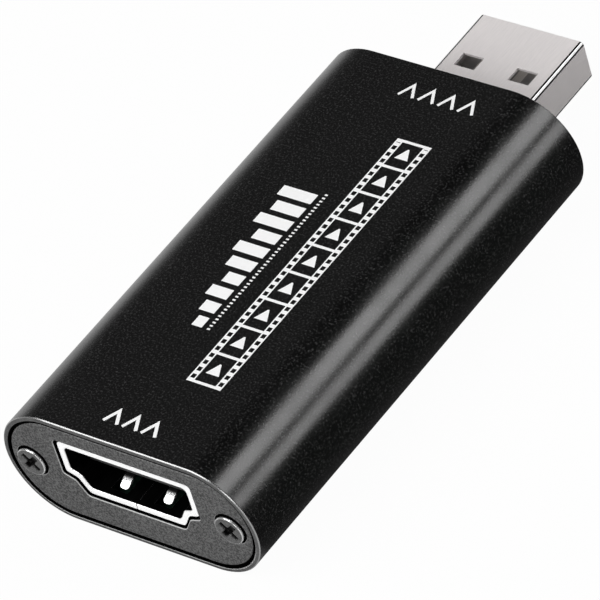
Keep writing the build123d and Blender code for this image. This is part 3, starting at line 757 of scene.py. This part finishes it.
def film_strip():
    """Film strip along Y: two perforated rails, lines between the frames, and a play sign in each frame."""
    left, right, rail_width = 1.5, 5.4, 0.75
    strip_from, strip_to = -17.1, 17.0
    frame_count, holes_per_frame = 9, 4
    rail_line, frame_line, sign_size = 0.14, 0.3, 1.5
    pitch = (strip_to - strip_from) / frame_count
    frame_left, frame_right = left + rail_width, right - rail_width
    strip = []
    for x_from, x_to in ((left, frame_left), (frame_right, right)):
        strip += film_rail(x_from, x_to, strip_from, strip_to, holes_per_frame * frame_count, rail_line)
    for n in range(frame_count + 1):
        start = min(strip_from + n * pitch, strip_to - frame_line)
        strip.append(bar(frame_left, frame_right, start, start + frame_line))
    for n in range(frame_count):
        middle = strip_from + (n + 0.5) * pitch + frame_line / 2
        strip.append(play_sign((frame_left + frame_right) / 2, middle, sign_size))
    return strip


ink_mark("input_arrows", chevrons(-3.0, 3.5, y_middle=-23.5, count=3, width=0.34))
ink_mark("output_arrows", chevrons(-2.4, 6.7, y_middle=22.95, count=4, width=0.3))
ink_mark("level_bars", level_bars())
ink_mark("scale_ticks", scale_ticks())
ink_mark("film_strip", film_strip())


# Floor, backdrop and light

def pale_floor():
    """Plain pale floor under the box, white to the camera, with the box's soft shadow on it.

    Mirrored in the box, the floor is white in front of the socket, and elsewhere it dims from left to right.
    """
    reach, drop = 3.0, 0.02 * mm
    dims_over = (-4 * mm, 6 * mm)
    left_level, right_level = 0.75, 0.05
    white_before = (-30 * mm, -22 * mm)
    seen_white, floor_grey = 0.97, 0.68
    corners = [(-reach, -reach, 0.0), (reach, -reach, 0.0), (reach, reach, 0.0), (-reach, reach, 0.0)]
    mesh = bpy.data.meshes.new("pale_floor")
    mesh.from_pydata(corners, [], [(0, 1, 2, 3)])
    material = bpy.data.materials.new("pale_floor")
    tree = cleared_tree(material)
    path = add_node(tree, "ShaderNodeLightPath").outputs
    place = place_on_part(tree)
    mirrored = calc(tree, "MAXIMUM", path["Is Glossy Ray"], path["Is Transmission Ray"])
    dimmed = ramp(tree, place["X"], *dims_over, left_level, right_level)
    in_front = ramp(tree, place["Y"], *white_before, 1.0, 0.0)
    strength = mix_values(tree, mirrored, 1.0, calc(tree, "MAXIMUM", dimmed, in_front))
    white_share = calc(tree, "MULTIPLY_ADD", path["Is Camera Ray"], seen_white, mirrored)
    pale = add_node(tree, "ShaderNodeBsdfDiffuse", Color=grey(floor_grey)).outputs[0]
    white = add_node(tree, "ShaderNodeEmission", Color=grey(1.0), Strength=strength).outputs[0]
    mixed = add_node(tree, "ShaderNodeMixShader", _0=white_share, _1=pale, _2=white)
    add_node(tree, "ShaderNodeOutputMaterial", Surface=mixed.outputs[0])
    mesh.materials.append(material)
    floor = bpy.data.objects.new("pale_floor", mesh)
    floor.location.z = -drop
    bpy.context.scene.collection.objects.link(floor)


def studio_world():
    """White to the camera. For light, pale near the horizon, and dim overhead and on the right."""
    horizon_level, right_level = 0.56, 0.04
    overhead_left, overhead_level = 0.087, 0.02
    world = bpy.data.worlds.new("studio")
    bpy.context.scene.world = world
    tree = cleared_tree(world)
    outward = add_node(tree, "ShaderNodeTexCoord").outputs["Generated"]
    direction = add_node(tree, "ShaderNodeSeparateXYZ", Vector=outward).outputs
    overhead = ramp(tree, direction["X"], -0.55, -0.2, overhead_left, overhead_level)
    left = mix_values(tree, ramp(tree, direction["Z"], -0.12, 0.3), horizon_level, overhead)
    level = mix_values(tree, ramp(tree, direction["X"], 0.1, 0.6), left, right_level)
    path = add_node(tree, "ShaderNodeLightPath").outputs
    strength = mix_values(tree, path["Is Camera Ray"], level, 1.0)
    back = add_node(tree, "ShaderNodeBackground", Color=grey(1.0), Strength=strength)
    add_node(tree, "ShaderNodeOutputWorld", Surface=back.outputs[0])


def softbox(name, direction, distance, sides, radiance):
    """Rectangular lamp that faces the box from a direction, with its second side along the box.

    Its power is what a lamp of that area needs to look as bright as radiance says.
    """
    along = Vector((0.0, 1.0, 0.0))
    lamp = bpy.data.lights.new(name, "AREA")
    lamp.shape = "RECTANGLE"
    lamp.size, lamp.size_y = sides
    lamp.energy = radiance * sides[0] * sides[1] * math.pi
    holder = bpy.data.objects.new(name, lamp)
    back = Vector(direction).normalized()
    up = (along - back * back.dot(along)).normalized()
    turn = Matrix((up.cross(back), up, back)).transposed().to_4x4()
    holder.matrix_world = Matrix.Translation(back * distance) @ turn
    holder.visible_camera = False
    bpy.context.scene.collection.objects.link(holder)


pale_floor()
studio_world()
softbox("upper_strip", (0.463, 0.511, 0.724), distance=0.8, sides=(0.315, 0.36), radiance=3.4)
softbox("lower_strip", (0.788, 0.511, 0.343), distance=0.8, sides=(0.23, 0.30), radiance=2.95)
softbox("front_key", (-0.36, -0.62, 0.70), distance=0.9, sides=(0.7, 0.7), radiance=5.2)
softbox("rim_light", (0.41, -0.85, 0.31), distance=0.9, sides=(0.30, 0.30), radiance=5.0)
softbox("side_light", (0.84, -0.44, 0.17), distance=0.9, sides=(0.2, 0.2), radiance=4.5)
softbox("glint_light", (0.11, -0.13, 0.99), distance=0.8, sides=(0.22, 0.22), radiance=6.0)


# Camera, at the photograph's place and angle

camera_place = Vector((0.303489, -0.278493, 0.363951))
camera_right = Vector((0.79195698, 0.5650171, -0.23142994))
camera_up = Vector((-0.25193696, 0.64765871, 0.71907299))
camera_back = Vector((0.55617615, -0.51116912, 0.65526653))
camera_data = bpy.data.cameras.new("camera")
camera_data.sensor_width = 36.0
camera_data.lens = 356.33
camera = bpy.data.objects.new("camera", camera_data)
axes = Matrix((camera_right, camera_up, camera_back)).transposed().to_4x4()
camera.matrix_world = Matrix.Translation(camera_place) @ axes
bpy.context.scene.collection.objects.link(camera)
bpy.context.scene.camera = camera
bpy.context.scene.view_settings.view_transform = "Standard"
